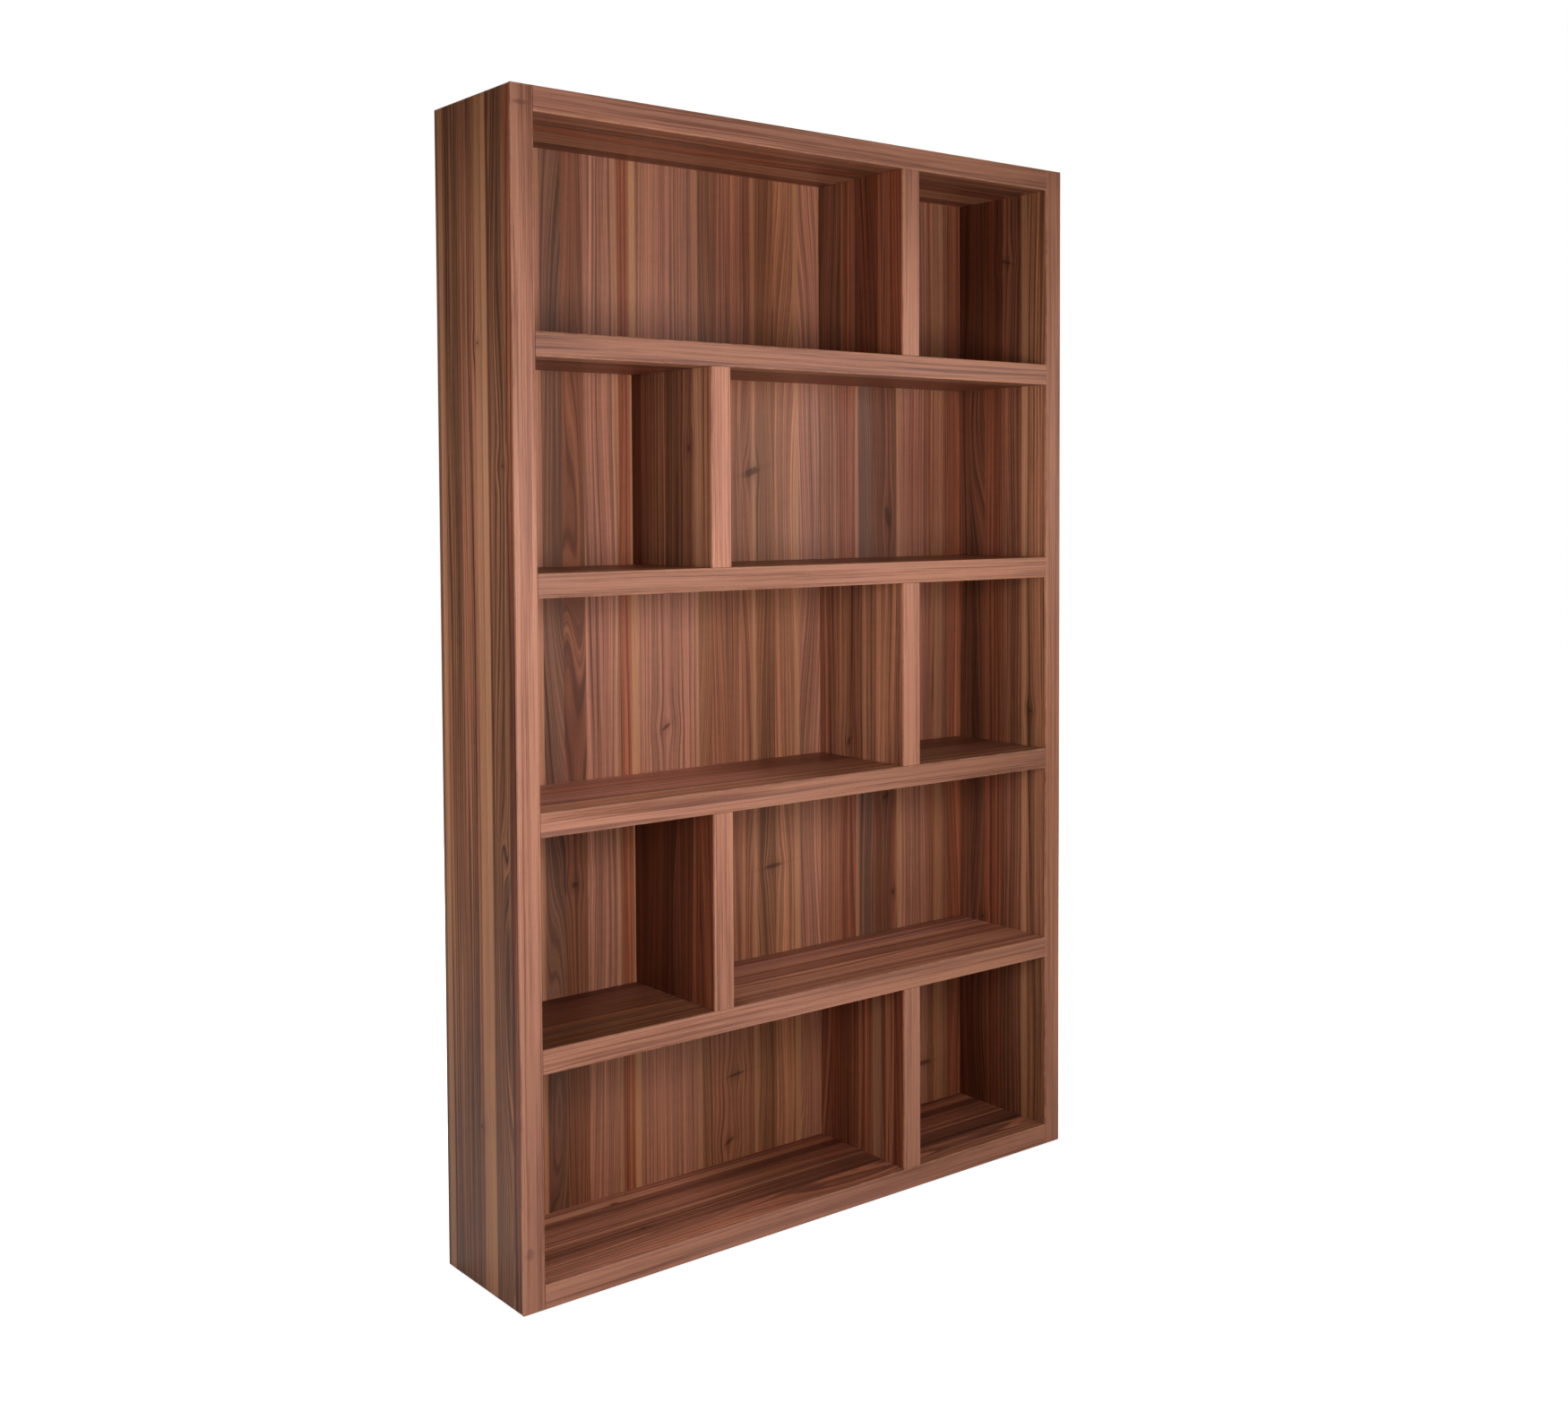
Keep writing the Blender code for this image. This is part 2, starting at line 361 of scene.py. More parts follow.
def veneer(
    name, across, along, leaves, streaks=(), knots=(), painted_light=(), shades=(),
    seed=0.0, gain=1.17, contrast=1.8, sheen=0.40, fade_hue=1.0,
):
    """Flat-cut walnut veneer, with across and along as the axes across the grain and along it.

    All places are in millimetres, from the inner left side, the front edge or the floor. leaves are
    (start across, tone), streaks of sapwood are (middle across, width, strength), and knots are
    (across, along, half width, half height, tilt). painted_light is painted light and shade along
    the grain, (place along, brightness) in rising order, and shades are soft dark patches of painted
    shade, (across, along, half width, half height, amount).
    gain is the brightness between the lines of the grain, contrast their strength, sheen the
    roughness of the lacquer, and fade_hue how much a fade changes the hue.
    """
    graph = Graph(name)
    position = graph.position()
    u, v = position[across], position[along]
    start, end = SPANS[across]
    origin = SPANS[along][0]
    length = end - start
    place = (u - start) / length

    # The leaves, side by side with straight joints.
    stops = [(edge * MM / length, TONES[tone]) for edge, tone in leaves]
    colour = graph.ramp(place, stops, "CONSTANT")
    rng = random.Random(f"{name} leaves")
    numbers = [(stop, (rng.random(),) * 3) for stop, _ in stops]
    leaf = Value(graph, graph.ramp(place, numbers, "CONSTANT"))

    # The grain runs along v. It wanders a little, leans or forms slender arches in some leaves, and
    # bends round the knots. In all the noises, the factors of u, grain and v are features per metre.
    depth = leaf * 57.0 + seed
    wander = graph.noise(u * 6.0, v * 1.3, depth, detail=1.0) - 0.5
    arches = graph.noise(u * 8.0, v * 1.0, depth + 3.0, detail=1.0) - 0.5
    lean = 1.5 + leaf ** 3.0 * 13.0
    grain = u + wander * (12 * MM) + arches * lean * (12 * MM)
    heart = None
    for knot_across, knot_along, half_width, half_height, tilt in knots:
        knot = (start + knot_across * MM, origin + knot_along * MM, half_width * MM, half_height * MM, tilt)
        shift, dark = bend_round_knot(graph, u, v, knot)
        grain = grain - shift
        heart = dark if heart is None else graph.math("MAXIMUM", heart, dark)

    # Rings: dark lines side by side, closer or wider apart.
    uneven = graph.noise(grain * 38.0, v * 0.4, depth + 11.0, detail=2.0) * 3.4
    wide_rings = graph.wave(grain * 84.0 + uneven)
    narrow_rings = graph.wave(grain * 216.0 + uneven * 2.3)
    strength = graph.noise(grain * 17.0, v * 1.4, depth + 7.0, detail=1.0)
    ring_line = graph.between(wide_rings, 0.10, 1.0) * graph.between(strength, 0.34, 0.62)
    thin_line = graph.between(narrow_rings, 0.10, 1.0) * graph.between(strength, 0.64, 0.38)

    # Lighter and darker lines at every scale, from broad bands to single fibres.
    slow = graph.noise(grain * 14.0, v * 0.8, depth, detail=1.0) - 0.5
    broad = graph.noise(grain * 88.0, v * 0.6, depth + 5.0, detail=1.5, roughness=0.55) - 0.5
    narrow = graph.noise(grain * 270.0, v * 0.7, depth + 13.0, detail=1.5, roughness=0.6) - 0.5
    fine = graph.noise(grain * 700.0, v * 8.0, depth + 17.0, detail=2.0, roughness=0.65) - 0.5
    hue = graph.noise(grain * 24.0, v * 1.6, depth + 23.0, detail=1.0)
    ripple = graph.noise(u * 20.0, v * 75.0, depth + 29.0, detail=1.0) - 0.5
    pores = graph.noise(u * 2600.0, v * 70.0, depth, detail=1.0)

    cast = graph.ramp(hue, [(0.30, REDDISH), (0.46, GREYISH), (0.62, GOLDEN)])
    colour = graph.multiply(colour, cast)
    figure = (slow * 0.70 + broad * 1.15 + narrow * 1.20 + fine * 0.80) * contrast + ripple * 0.16
    colour = graph.tint(colour, graph.math("MAXIMUM", gain + figure, 0.35))
    colour = graph.blend((ring_line * 0.34 + thin_line * 0.30) * contrast, colour, LATE_WOOD)

    # Sapwood at the edges of the leaves.
    if streaks:
        drift = place + (wander * 4 * MM) / length
        sap = sapwood_bands(graph, drift, streaks, length)
        patchy = graph.between(graph.noise(u * 9.0, v * 2.3, seed + 40.0), 0.25, 0.60) * 0.18 + 0.82
        pale = graph.tint(SAPWOOD, 1.0 + fine * 0.4 + narrow * 0.4)
        colour = graph.blend(sap * patchy, colour, pale)

    # Open pores, and the hearts of the knots.
    open_pores = graph.between(pores, 0.60, 0.70)
    colour = graph.blend(open_pores * 0.30, colour, LATE_WOOD)
    if heart is not None:
        colour = graph.blend(heart, colour, KNOT)

    # Painted light and shade: slow changes of brightness over the whole face.
    if painted_light:
        colour = paint_light_along(graph, colour, v, origin, painted_light, fade_hue)
    # Painted shade: soft dark patches where little light reaches.
    for shade_across, shade_along, half_width, half_height, amount in shades:
        p = (u - (start + shade_across * MM)) / (half_width * MM)
        q = (v - (origin + shade_along * MM)) / (half_height * MM)
        colour = graph.blend(graph.hill(p, q) * amount, colour, graph.multiply(colour, DEEP_SHADE))

    colour, wear = rubbed_edges(graph, colour, position)
    graph.set(
        Base_Color=colour,
        Roughness=sheen + fine * 0.10 + open_pores * 0.10 + wear * 0.10,
        Specular_IOR_Level=0.20,
        Coat_Weight=0.03,
        Coat_Roughness=0.30,
    )
    graph.bump(fine * 0.5 - open_pores * 0.6 - ring_line * 0.2, 0.12 * MM, 0.55)
    return graph.material


def lipping(name, across, along, marks=(), painted_light=()):
    """Solid walnut strips: pinkish tan, with the grain along each strip and a few purple streaks.

    marks are small dark knots, (from the left, from the floor, half width, half height) in
    millimetres, and painted_light is painted light and shade along the strip, as in veneer.
    """
    graph = Graph(name)
    position = graph.position()
    u, v = position[across], position[along]
    strip = graph.attribute("strip")
    figure = graph.attribute("figure")
    wander = graph.noise(u * 8.0, v * 1.7, strip * 7.0) - 0.5
    grain = u + wander * (10 * MM)
    slow = graph.noise(grain * 20.0, v * 1.2, strip * 3.1, detail=1.0) - 0.5
    broad = graph.noise(grain * 150.0, v * 1.4, strip * 5.3, detail=2.0) - 0.5
    rings = graph.noise(grain * 380.0, v * 2.0, strip * 9.7 + 3.0, detail=2.0, roughness=0.6) - 0.5
    fine = graph.noise(grain * 1100.0, v * 14.0, strip * 2.9, detail=2.0, roughness=0.65) - 0.5
    pores = graph.noise(u * 2800.0, v * 80.0, strip, detail=1.0)

    mixed = 0.62 + slow * 1.8 + broad * 2.0 + rings * 2.2 + fine * 1.2
    colour = graph.ramp(mixed, [(0.06, LIPPING_DARK), (0.86, LIPPING_LIGHT)])
    line = graph.between(rings, 0.05, 0.20) * (0.28 + figure * 0.32)
    colour = graph.blend(line, colour, LIPPING_STREAK)
    for mark_across, mark_up, half_width, half_height in marks:
        p = (u - (LEFT + mark_across * MM)) / (half_width * MM)
        q = (v - (LOW.z + mark_up * MM)) / (half_height * MM)
        ragged = (graph.noise(u * 160, v * 160, 5.0) - 0.5) * 1.2
        dark = graph.between(p * p + q * q + ragged, 1.6, 0.2)
        colour = graph.blend(dark * 0.45, colour, LIPPING_STREAK)
    streak = graph.between(graph.noise(grain * 75.0, v * 1.0, strip * 4.4 + 8.0), 0.54, 0.66)
    colour = graph.blend(streak * figure * 0.65, colour, LIPPING_STREAK)
    open_pores = graph.between(pores, 0.60, 0.70)
    colour = graph.blend(open_pores * 0.22, colour, LATE_WOOD)

    # The stored brightness is partly the strip's own tone and partly painted light and shade.
    colour = graph.tint(colour, graph.attribute("shade"))
    # Painted shade: the strips turn warmer and darker more and more towards the right.
    right_shade = graph.between(position[X], LEFT * 0.2, RIGHT)
    colour = graph.blend(right_shade, colour, graph.multiply(colour, LIPPING_RIGHT_SHADE))
    # Painted light and shade along the strip.
    if painted_light:
        colour = paint_light_along(graph, colour, v, LOW.z, painted_light, 0.3)
    colour, wear = rubbed_edges(graph, colour, position)
    graph.set(
        Base_Color=colour,
        Roughness=0.42 + fine * 0.10 + wear * 0.08,
        Specular_IOR_Level=0.28,
        Coat_Weight=0.05,
        Coat_Roughness=0.30,
    )
    graph.bump(fine * 0.5 - open_pores * 0.6, 0.12 * MM, 0.5)
    return graph.material


def core_board():
    """The raw board core, seen only inside the grooves."""
    graph = Graph("board_core")
    x, y, z = graph.position()
    chips = graph.noise(x * 420.0, y * 420.0, z * 420.0, detail=3.0, roughness=0.7)
    colour = graph.ramp(chips, [(0.30, (0.20, 0.115, 0.055)), (0.70, (0.52, 0.36, 0.20))])
    graph.set(Base_Color=colour, Roughness=0.80 + (chips - 0.5) * 0.2)
    graph.bump(chips, 0.3 * MM, 0.7)
    return graph.material


def beech_plywood():
    """The loose tongues: beech plies seen from the edge, with a fine short grain on the faces."""
    graph = Graph("beech_plywood")
    x, y, z = graph.position()
    ply = graph.noise(y * 12.0, (x + z) * 900.0, 2.0, detail=1.0)
    flecks = graph.noise(x * 700.0, y * 90.0, z * 700.0, detail=2.0)
    plies = [(0.35, (0.42, 0.26, 0.14)), (0.65, (0.68, 0.48, 0.30))]
    colour = graph.ramp(ply * 0.6 + flecks * 0.4, plies)
    graph.set(Base_Color=colour, Roughness=0.58 + (flecks - 0.5) * 0.2)
    graph.bump(flecks, 0.1 * MM, 0.5)
    return graph.material


def brown_nylon():
    """Moulded nylon of the glides, scuffed in one direction."""
    graph = Graph("brown_nylon")
    x, y, z = graph.position()
    grit = graph.noise(x * 1500.0, y * 1500.0, z * 1500.0, detail=2.0)
    scuffs = graph.noise(x * 300.0, y * 1800.0, z * 300.0, detail=2.0)
    colour = graph.ramp(scuffs, [(0.35, (0.026, 0.021, 0.018)), (0.72, (0.070, 0.060, 0.052))])
    graph.set(Base_Color=colour, Roughness=0.42 + (scuffs - 0.5) * 0.3)
    graph.bump(grit, 0.05 * MM, 0.6)
    return graph.material


def plated_steel(name, dull, bright):
    """Plated steel with faint turning marks and dulled patches."""
    graph = Graph(name)
    x, y, z = graph.position()
    patches = graph.noise(x * 260.0, y * 260.0, z * 260.0, detail=3.0)
    marks = graph.noise(x * 4200.0, y * 300.0, z * 4200.0, detail=1.0)
    colour = graph.ramp(patches, [(0.35, dull), (0.68, bright)])
    graph.set(Base_Color=colour, Metallic=1.0, Roughness=0.30 + patches * 0.18 + (marks - 0.5) * 0.10)
    graph.bump(marks, 0.02 * MM, 0.5)
    return graph.material


# ------------------------ veneer of each face
def random_face(seed, end=DEPTH_TO_FILL, widths=(50, 100), tones=COMMON_TONES):
    """Leaves of a face that nothing prescribes, with sapwood at some of the joints."""
    rng = random.Random(seed)
    leaves, streaks, edge, last = [], [], 0.0, None
    while edge < end:
        tone = rng.choice([t for t in tones if t != last])
        leaves.append((edge, tone))
        last = tone
        edge += rng.uniform(*widths)
        if rng.random() < SAPWOOD_CHANCE and edge < end - SAPWOOD_MARGIN:
            streaks.append((edge, rng.uniform(5, 16), rng.uniform(0.45, 0.85)))
    return dict(leaves=leaves, streaks=streaks)


BACK = dict(
    leaves=[
        (0, "mid"), (60, "umber"), (118, "rose"), (172, "grey"), (216, "umber"), (268, "rose"),
        (352, "red"), (390, "rose"), (470, "rose"), (548, "olive"), (580, "mid"), (655, "mid"),
        (700, "olive"), (750, "warm"), (818, "rose"), (878, "mid"), (935, "red"), (990, "grey"),
        (1030, "umber"), (1110, "rose"), (1200, "mid"), (1265, "red"),
    ],
    streaks=[
        (168, 8, 0.75), (269, 3, 0.9), (346, 9, 0.45), (389, 15, 0.95), (545, 11, 0.55), (660, 6, 0.4),
        (696, 10, 0.85), (814, 15, 0.9), (989, 7, 0.8), (1116, 16, 0.75), (1240, 26, 0.45),
    ],
    knots=[
        (690, 1530, 23, 10, 0.30), (1082, 1430, 10, 26, -1.4), (465, 1000, 11, 5, 0.6),
        (962, 945, 8, 16, -1.2), (240, 700, 9, 7, 0.0), (745, 672, 26, 6, 0.1),
        (1075, 790, 10, 8, 0.4), (1140, 1150, 12, 9, 0.4), (1096, 565, 5, 9, 0.0),
        (640, 232, 24, 4, 0.1), (622, 90, 14, 6, 0.5), (1192, 145, 26, 6, 0.0),
    ],
    # Painted light and shade up the back: darkest in the lowest row, brightest in the third and fourth
    # rows.
    painted_light=[
        (0, 0.86), (380, 0.88), (460, 0.95), (800, 0.97),
        (1000, 1.04), (1720, 1.06), (1800, 0.98), (2200, 0.98),
    ],
    # Painted shade beside the divider in the top row and at the right of the fourth row.
    shades=[(660, 1970, 160, 220, 0.45), (1150, 1550, 150, 200, 0.34)],
    gain=1.38, contrast=1.42, fade_hue=2.0,
)

SIDES = {
    "outer_left": dict(
        leaves=[
            (0, "red"), (28, "olive"), (84, "umber"), (92, "mid"), (127, "warm"),
            (137, "mid"), (196, "olive"), (252, "mid"), (272, "olive"),
        ],
        streaks=[(34, 8, 0.25), (103, 20, 1.0), (125, 24, 0.72), (172, 6, 0.30), (264, 19, 0.74)],
        knots=[(129, 1755, 5, 3, 0.0), (42, 1530, 6, 3, 0.0), (47, 830, 4, 2, 0.0), (147, 310, 5, 3, 0.0)],
        # Painted light and shade: darker towards the top and the bottom, brightest a little above the
        # middle.
        painted_light=[(0, 0.68), (300, 0.76), (900, 0.94), (1500, 1.06), (1900, 0.86), (2200, 0.62)],
        gain=1.20, contrast=2.2,
    ),
    "inner_right": dict(
        leaves=[(0, "warm"), (58, "sand"), (75, "mid"), (135, "red"), (192, "umber"), (240, "umber")],
        streaks=[(67, 16, 0.7)],
        knots=[(125, 2010, 19, 4, 0.3), (50, 990, 7, 4, 0.3), (200, 490, 6, 5, 0.0)],
        # Painted light and shade: brighter in the second and fourth rows and darker in the others, by how
        # much light each row of compartments lets in.
        painted_light=[
            (0, 0.68), (420, 0.90), (500, 1.03), (870, 1.03), (930, 0.88),
            (1300, 0.90), (1360, 1.02), (1720, 1.04), (1790, 0.84), (2200, 0.74),
        ],
        # Painted shade deep in the rear corners of the bottom and top rows.
        shades=[(REAR_EDGE, 160, 110, 270, 1.0), (REAR_EDGE, 2020, 140, 270, 1.0)],
    ),
    "inner_left": random_face("inner_left", widths=(50, 95)),
    "outer_right": random_face("outer_right", widths=(50, 95)),
}

# The dark leaves towards the rear of dividers 2 and 4 are painted shade, deep in those compartments where
# little light reaches.
DIVIDERS_LEFT = {
    1: dict(
        leaves=[(0, "maroon"), (34, "red"), (62, "mid"), (104, "red"), (170, "maroon"), (240, "red")],
        streaks=[(48, 6, 0.35), (90, 26, 0.35)],
    ),
    2: dict(
        leaves=[(0, "maroon"), (50, "maroon"), (120, "maroon"), (150, "dark")],
        streaks=[(66, 5, 0.2)],
    ),
    3: dict(
        leaves=[(0, "warm"), (70, "warm"), (132, "mid"), (180, "warm"), (220, "mid"), (250, "mid")],
        streaks=[(128, 10, 0.7), (226, 5, 0.3)],
        knots=[(178, 944, 8, 9, -1.0)],
    ),
    4: dict(
        leaves=[
            (0, "warm"), (38, "sand"), (64, "mid"), (106, "olive"), (160, "warm"),
            (216, "umber"), (244, "dark"),
        ],
        streaks=[(46, 20, 0.7), (88, 8, 0.3)],
        knots=[(77, 1570, 6, 8, 0.0)],
    ),
    5: dict(
        leaves=[(0, "maroon"), (42, "red"), (80, "maroon"), (140, "red"), (200, "umber")],
        streaks=[(162, 4, 0.3), (198, 5, 0.35)],
    ),
}

# On these boards, painted light and shade: brighter or darker from one compartment to the next along the
# board, and painted shade towards the rear.
LEVEL_FACES = {
    "bottom_panel_top": dict(
        leaves=[(0, "mid"), (70, "umber"), (132, "mid"), (200, "umber"), (236, "mid")],
        streaks=[(133, 6, 0.70), (243, 20, 0.60)],
        knots=[(235, 300, 6, 12, 0.0), (100, 280, 4, 9, 0.0)],
        painted_light=[(0, 1.85), (400, 1.65), (650, 1.05), (1300, 1.20)],
        shades=[(REAR_EDGE, 1000, 160, 400, 1.0)],
    ),
    "shelf_1_top": dict(
        leaves=[(0, "mid"), (60, "warm"), (120, "mid"), (190, "rose"), (240, "umber")],
        streaks=[(61, 16, 0.32), (185, 20, 0.40)],
        painted_light=[(0, 0.55), (420, 0.92), (500, 1.78), (1300, 1.66)],
        shades=[(REAR_EDGE, 160, 160, 280, 1.0)],
    ),
    "shelf_2_top": dict(
        leaves=[(0, "warm"), (80, "rose"), (170, "mid"), (230, "rose")],
        streaks=[(58, 20, 0.35)],
        painted_light=[(0, 2.10), (500, 1.80), (700, 0.92), (1300, 0.92)],
        shades=[(REAR_EDGE, 1020, 150, 400, 0.9)],
    ),
    "top_panel_under": dict(
        leaves=[(0, "mid"), (62, "umber"), (96, "red"), (150, "warm"), (225, "umber"), (262, "red")],
        streaks=[(219, 16, 0.40)],
    ),
}


def back_veneers():
    rear = random_face("rear", WIDTH_TO_FILL, (90, 170), CALM_TONES)
    return {
        "back_front": veneer("walnut_back_front", X, Z, seed=1.0, **BACK),
        "back_rear": veneer("walnut_back_rear", X, Z, seed=9.0, contrast=1.0, sheen=0.52, **rear),
    }


def side_veneers():
    return {
        side: veneer(f"walnut_side_{side}", Y, Z, seed=seed, **face)
        for seed, (side, face) in enumerate(SIDES.items(), start=2)
    }


def divider_veneers():
    made = {}
    for row, left in DIVIDERS_LEFT.items():
        right = random_face(f"divider {row} right")
        made[f"divider_{row}_left"] = veneer(f"walnut_divider_{row}_left", Y, Z, seed=10.0 + row, **left)
        made[f"divider_{row}_right"] = veneer(f"walnut_divider_{row}_right", Y, Z, seed=20.0 + row, **right)
    return made


def level_veneers():
    made = {}
    keys = [f"{board}_{side}" for board in LEVEL_BOARDS for side in ("under", "top")]
    for seed, key in enumerate(keys, start=30):
        face = LEVEL_FACES.get(key) or random_face(key)
        made[key] = veneer(f"walnut_{key}", Y, X, seed=seed, **face)
    return made


def edge_veneers():
    """Plain edge bands, each named after how it runs."""
    return {
        "edge_upright": veneer("walnut_edge_upright", X, Z, [(0, "umber")], seed=50.0),
        "edge_level": veneer("walnut_edge_level", Z, X, [(0, "umber")], seed=52.0),
        "edge_across": veneer("walnut_edge_across", X, Y, [(0, "mid")], seed=51.0),
    }


def strip_materials():
    marks = [(20, 2167, 16, 5), (14, 113, 8, 11)]
    # Painted light and shade up the two front uprights: brightest high up, darker towards the bottom and
    # the top.
    painted_light = [(0, 0.90), (400, 0.94), (900, 1.0), (1450, 1.10), (1850, 1.06), (2100, 0.86), (2200, 0.74)]
    right_painted_light = [
        (0, 0.84), (360, 0.90), (720, 0.86), (1080, 1.08),
        (1450, 1.12), (1810, 1.22), (2100, 0.86), (2200, 0.72),
    ]
    return {
        "lipping_upright": lipping("walnut_lipping_upright", X, Z, marks, painted_light),
        "lipping_right": lipping("walnut_lipping_right", X, Z, (), right_painted_light),
        "lipping_level": lipping("walnut_lipping_level", Z, X),
    }


MATERIALS = {
    **back_veneers(),
    **side_veneers(),
    **divider_veneers(),
    **level_veneers(),
    **edge_veneers(),
    **strip_materials(),
    "core": core_board(),
    "plywood": beech_plywood(),
    "nylon": brown_nylon(),
    "nail": plated_steel("bright_steel", (0.42, 0.42, 0.41), (0.62, 0.61, 0.59)),
    "screw": plated_steel("yellow_zinc", (0.38, 0.29, 0.15), (0.66, 0.54, 0.30)),
}


# ------------------------ meshes
def nodes_called(start):
    return [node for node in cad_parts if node.startswith(start)]


def link_object(name, data):
    made = bpy.data.objects.new(name, data)
    bpy.context.scene.collection.objects.link(made)
    return made


def mesh_from(name, shape):
    """Turns a bmesh into a mesh, and frees it."""
    mesh = bpy.data.meshes.new(name)
    shape.to_mesh(mesh)
    shape.free()
    return mesh


def smooth(mesh):
    mesh.shade_smooth()
    mesh.set_sharp_from_angle(angle=SHARP_ANGLE)


def add_object(name, shape, materials):
    piece = link_object(name, mesh_from(name, shape))
    for material in materials:
        piece.data.materials.append(material)
    smooth(piece.data)
    return piece


def add_box(shape, low, high):
    for corner in bmesh.ops.create_cube(shape, size=1)["verts"]:
        corner.co = Vector([low[i] if corner.co[i] < 0 else high[i] for i in AXES])


def absorb(shape, other):
    """Moves another bmesh's faces into a shape."""
    mesh = mesh_from("part", other)
    shape.from_mesh(mesh)
    bpy.data.meshes.remove(mesh)


def turn(shape, profile, centre, axis, steps=32):
    """Turns a profile of (radius, height) points about an axis through centre."""
    middle = Vector(centre)
    side = Vector((1, 0, 0))
    points = [shape.verts.new(middle + side * radius + Vector(axis) * height) for radius, height in profile]
    lines = [shape.edges.new(pair) for pair in zip(points, points[1:])]
    bmesh.ops.spin(shape, geom=points + lines, cent=middle, axis=axis, angle=math.tau, steps=steps)
    bmesh.ops.remove_doubles(shape, verts=shape.verts, dist=TINY)
    bmesh.ops.recalc_face_normals(shape, faces=shape.faces)


def apply_modifiers(piece):
    graph = bpy.context.evaluated_depsgraph_get()
    mesh = bpy.data.meshes.new_from_object(piece.evaluated_get(graph), depsgraph=graph)
    piece.modifiers.clear()
    old = piece.data
    piece.data = mesh
    bpy.data.meshes.remove(old)


def cut_away(piece, shape, wall_index=0, crossing=False):
    """Cuts a shape out of a piece.

    wall_index says which of the piece's materials the cut's walls get, and crossing that bodies of
    the shape run through each other.
    """
    for face in shape.faces:
        face.material_index = wall_index
    cutter = link_object("cutter", mesh_from("cutter", shape))
    for material in piece.data.materials:
        cutter.data.materials.append(material)
    modifier = piece.modifiers.new("cut", "BOOLEAN")
    modifier.operation = "DIFFERENCE"
    modifier.object = cutter
    modifier.use_self = crossing
    apply_modifiers(piece)
    bpy.data.objects.remove(cutter)


def round_edges(shape, low, high, rounded):
    """Rounds the edges where two of the rounded pairs of faces meet, and breaks the others very finely."""
    wanted = [set(pair) for pair in rounded]
    big, small = [], []
    for edge in shape.edges:
        first, second = edge.verts[0].co, edge.verts[1].co
        faces = set()
        for axis in AXES:
            if abs(first[axis] - second[axis]) < TINY:
                faces.add((axis, 1 if first[axis] > (low[axis] + high[axis]) / 2 else -1))
        group = big if faces in wanted else small
        group.append(edge)
    for edges, offset, segments in ((big, ROUND_OVER, 4), (small, MICRO_EDGE, 1)):
        alive = [edge for edge in edges if edge.is_valid]
        if alive:
            bmesh.ops.bevel(
                shape, geom=alive, offset=offset, segments=segments, profile=0.5,
                affect="EDGES", clamp_overlap=True,
            )


def add_edge_loops(shape, low, high):
    """Cuts the faces a little way in from every edge, so that wear can fade out over that band."""
    for axis in AXES:
        normal = Vector([float(i == axis) for i in AXES])
        if high[axis] - low[axis] < 3 * EDGE_BAND:
            continue
        for place in (low[axis] + EDGE_BAND, high[axis] - EDGE_BAND):
            bmesh.ops.bisect_plane(
                shape, geom=shape.verts[:] + shape.edges[:] + shape.faces[:],
                plane_co=normal * place, plane_no=normal,
            )


def store(mesh, name, values):
    """Stores a number for each vertex, where the shaders find it by its name."""
    mesh.attributes.new(name, "FLOAT", "POINT").data.foreach_set("value", values)


def mark_edges(mesh, low, high, rounded):
    """Stores for each vertex whether it lies on a rounded edge of the board, as a number from 0 to 1."""
    reach = ROUND_OVER * 1.05
    values = []
    for vertex in mesh.vertices:
        near = {(axis, -1) for axis in AXES if vertex.co[axis] - low[axis] < reach}
        near |= {(axis, 1) for axis in AXES if high[axis] - vertex.co[axis] < reach}
        values.append(float(any(near.issuperset(pair) for pair in rounded)))
    store(mesh, "edge", values)


def mark_strip(mesh, along, strip, figure, first_shade, last_shade):
    """Stores which strip this is, how figured it is, and how light it is at each place along it, partly its
    own tone and partly painted light and shade.
    """
    places = [vertex.co[along] for vertex in mesh.vertices]
    start, end = min(places), max(places)
    rise = (last_shade - first_shade) / (end - start)
    store(mesh, "strip", [strip] * len(places))
    store(mesh, "figure", [figure] * len(places))
    store(mesh, "shade", [first_shade + rise * (place - start) for place in places])


def place_of_face(normal):
    """The axis and the side that a face looks to."""
    axis = max(AXES, key=lambda i: abs(normal[i]))
    return axis, 1 if normal[axis] > 0 else -1


# ------------------------ boards
def add_slab(name, node, faces, rounded):
    """A box with fine edges in a node's place.

    faces maps (axis, side) to a material, and None to the rest. The last material is the core's.
    """
    low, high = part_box(node)
    shape = bmesh.new()
    add_box(shape, low, high)
    round_edges(shape, low, high, rounded)
    add_edge_loops(shape, low, high)
    materials = list(dict.fromkeys([*faces.values(), MATERIALS["core"]]))
    for face in shape.faces:
        material = faces.get(place_of_face(face.normal), faces[None])
        face.material_index = materials.index(material)
    return add_object(name, shape, materials)


def add_board(name, node, faces, rounded=(), grooves=()):
    """A board that replaces a node. The walls of its grooves show the board's core."""
    piece = add_slab(name, node, faces, rounded)
    if grooves:
        cutter = bmesh.new()
        for low, high in grooves:
            add_box(cutter, low, high)
        cut_away(piece, cutter, len(piece.data.materials) - 1)
    mark_edges(piece.data, *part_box(node), rounded)
    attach(piece, "root")
    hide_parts(node)
    return piece


def grooves_of(node):
    """The spaces of the tongues that reach into a board, a little larger than the tongues."""
    low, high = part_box(node)
    slack = Vector((GROOVE_SLACK,) * 3)
    found = []
    for tongue in nodes_called("tongue"):
        first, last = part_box(tongue)
        if all(first[i] < high[i] and last[i] > low[i] for i in AXES):
            found.append((first - slack, last + slack))
    return found


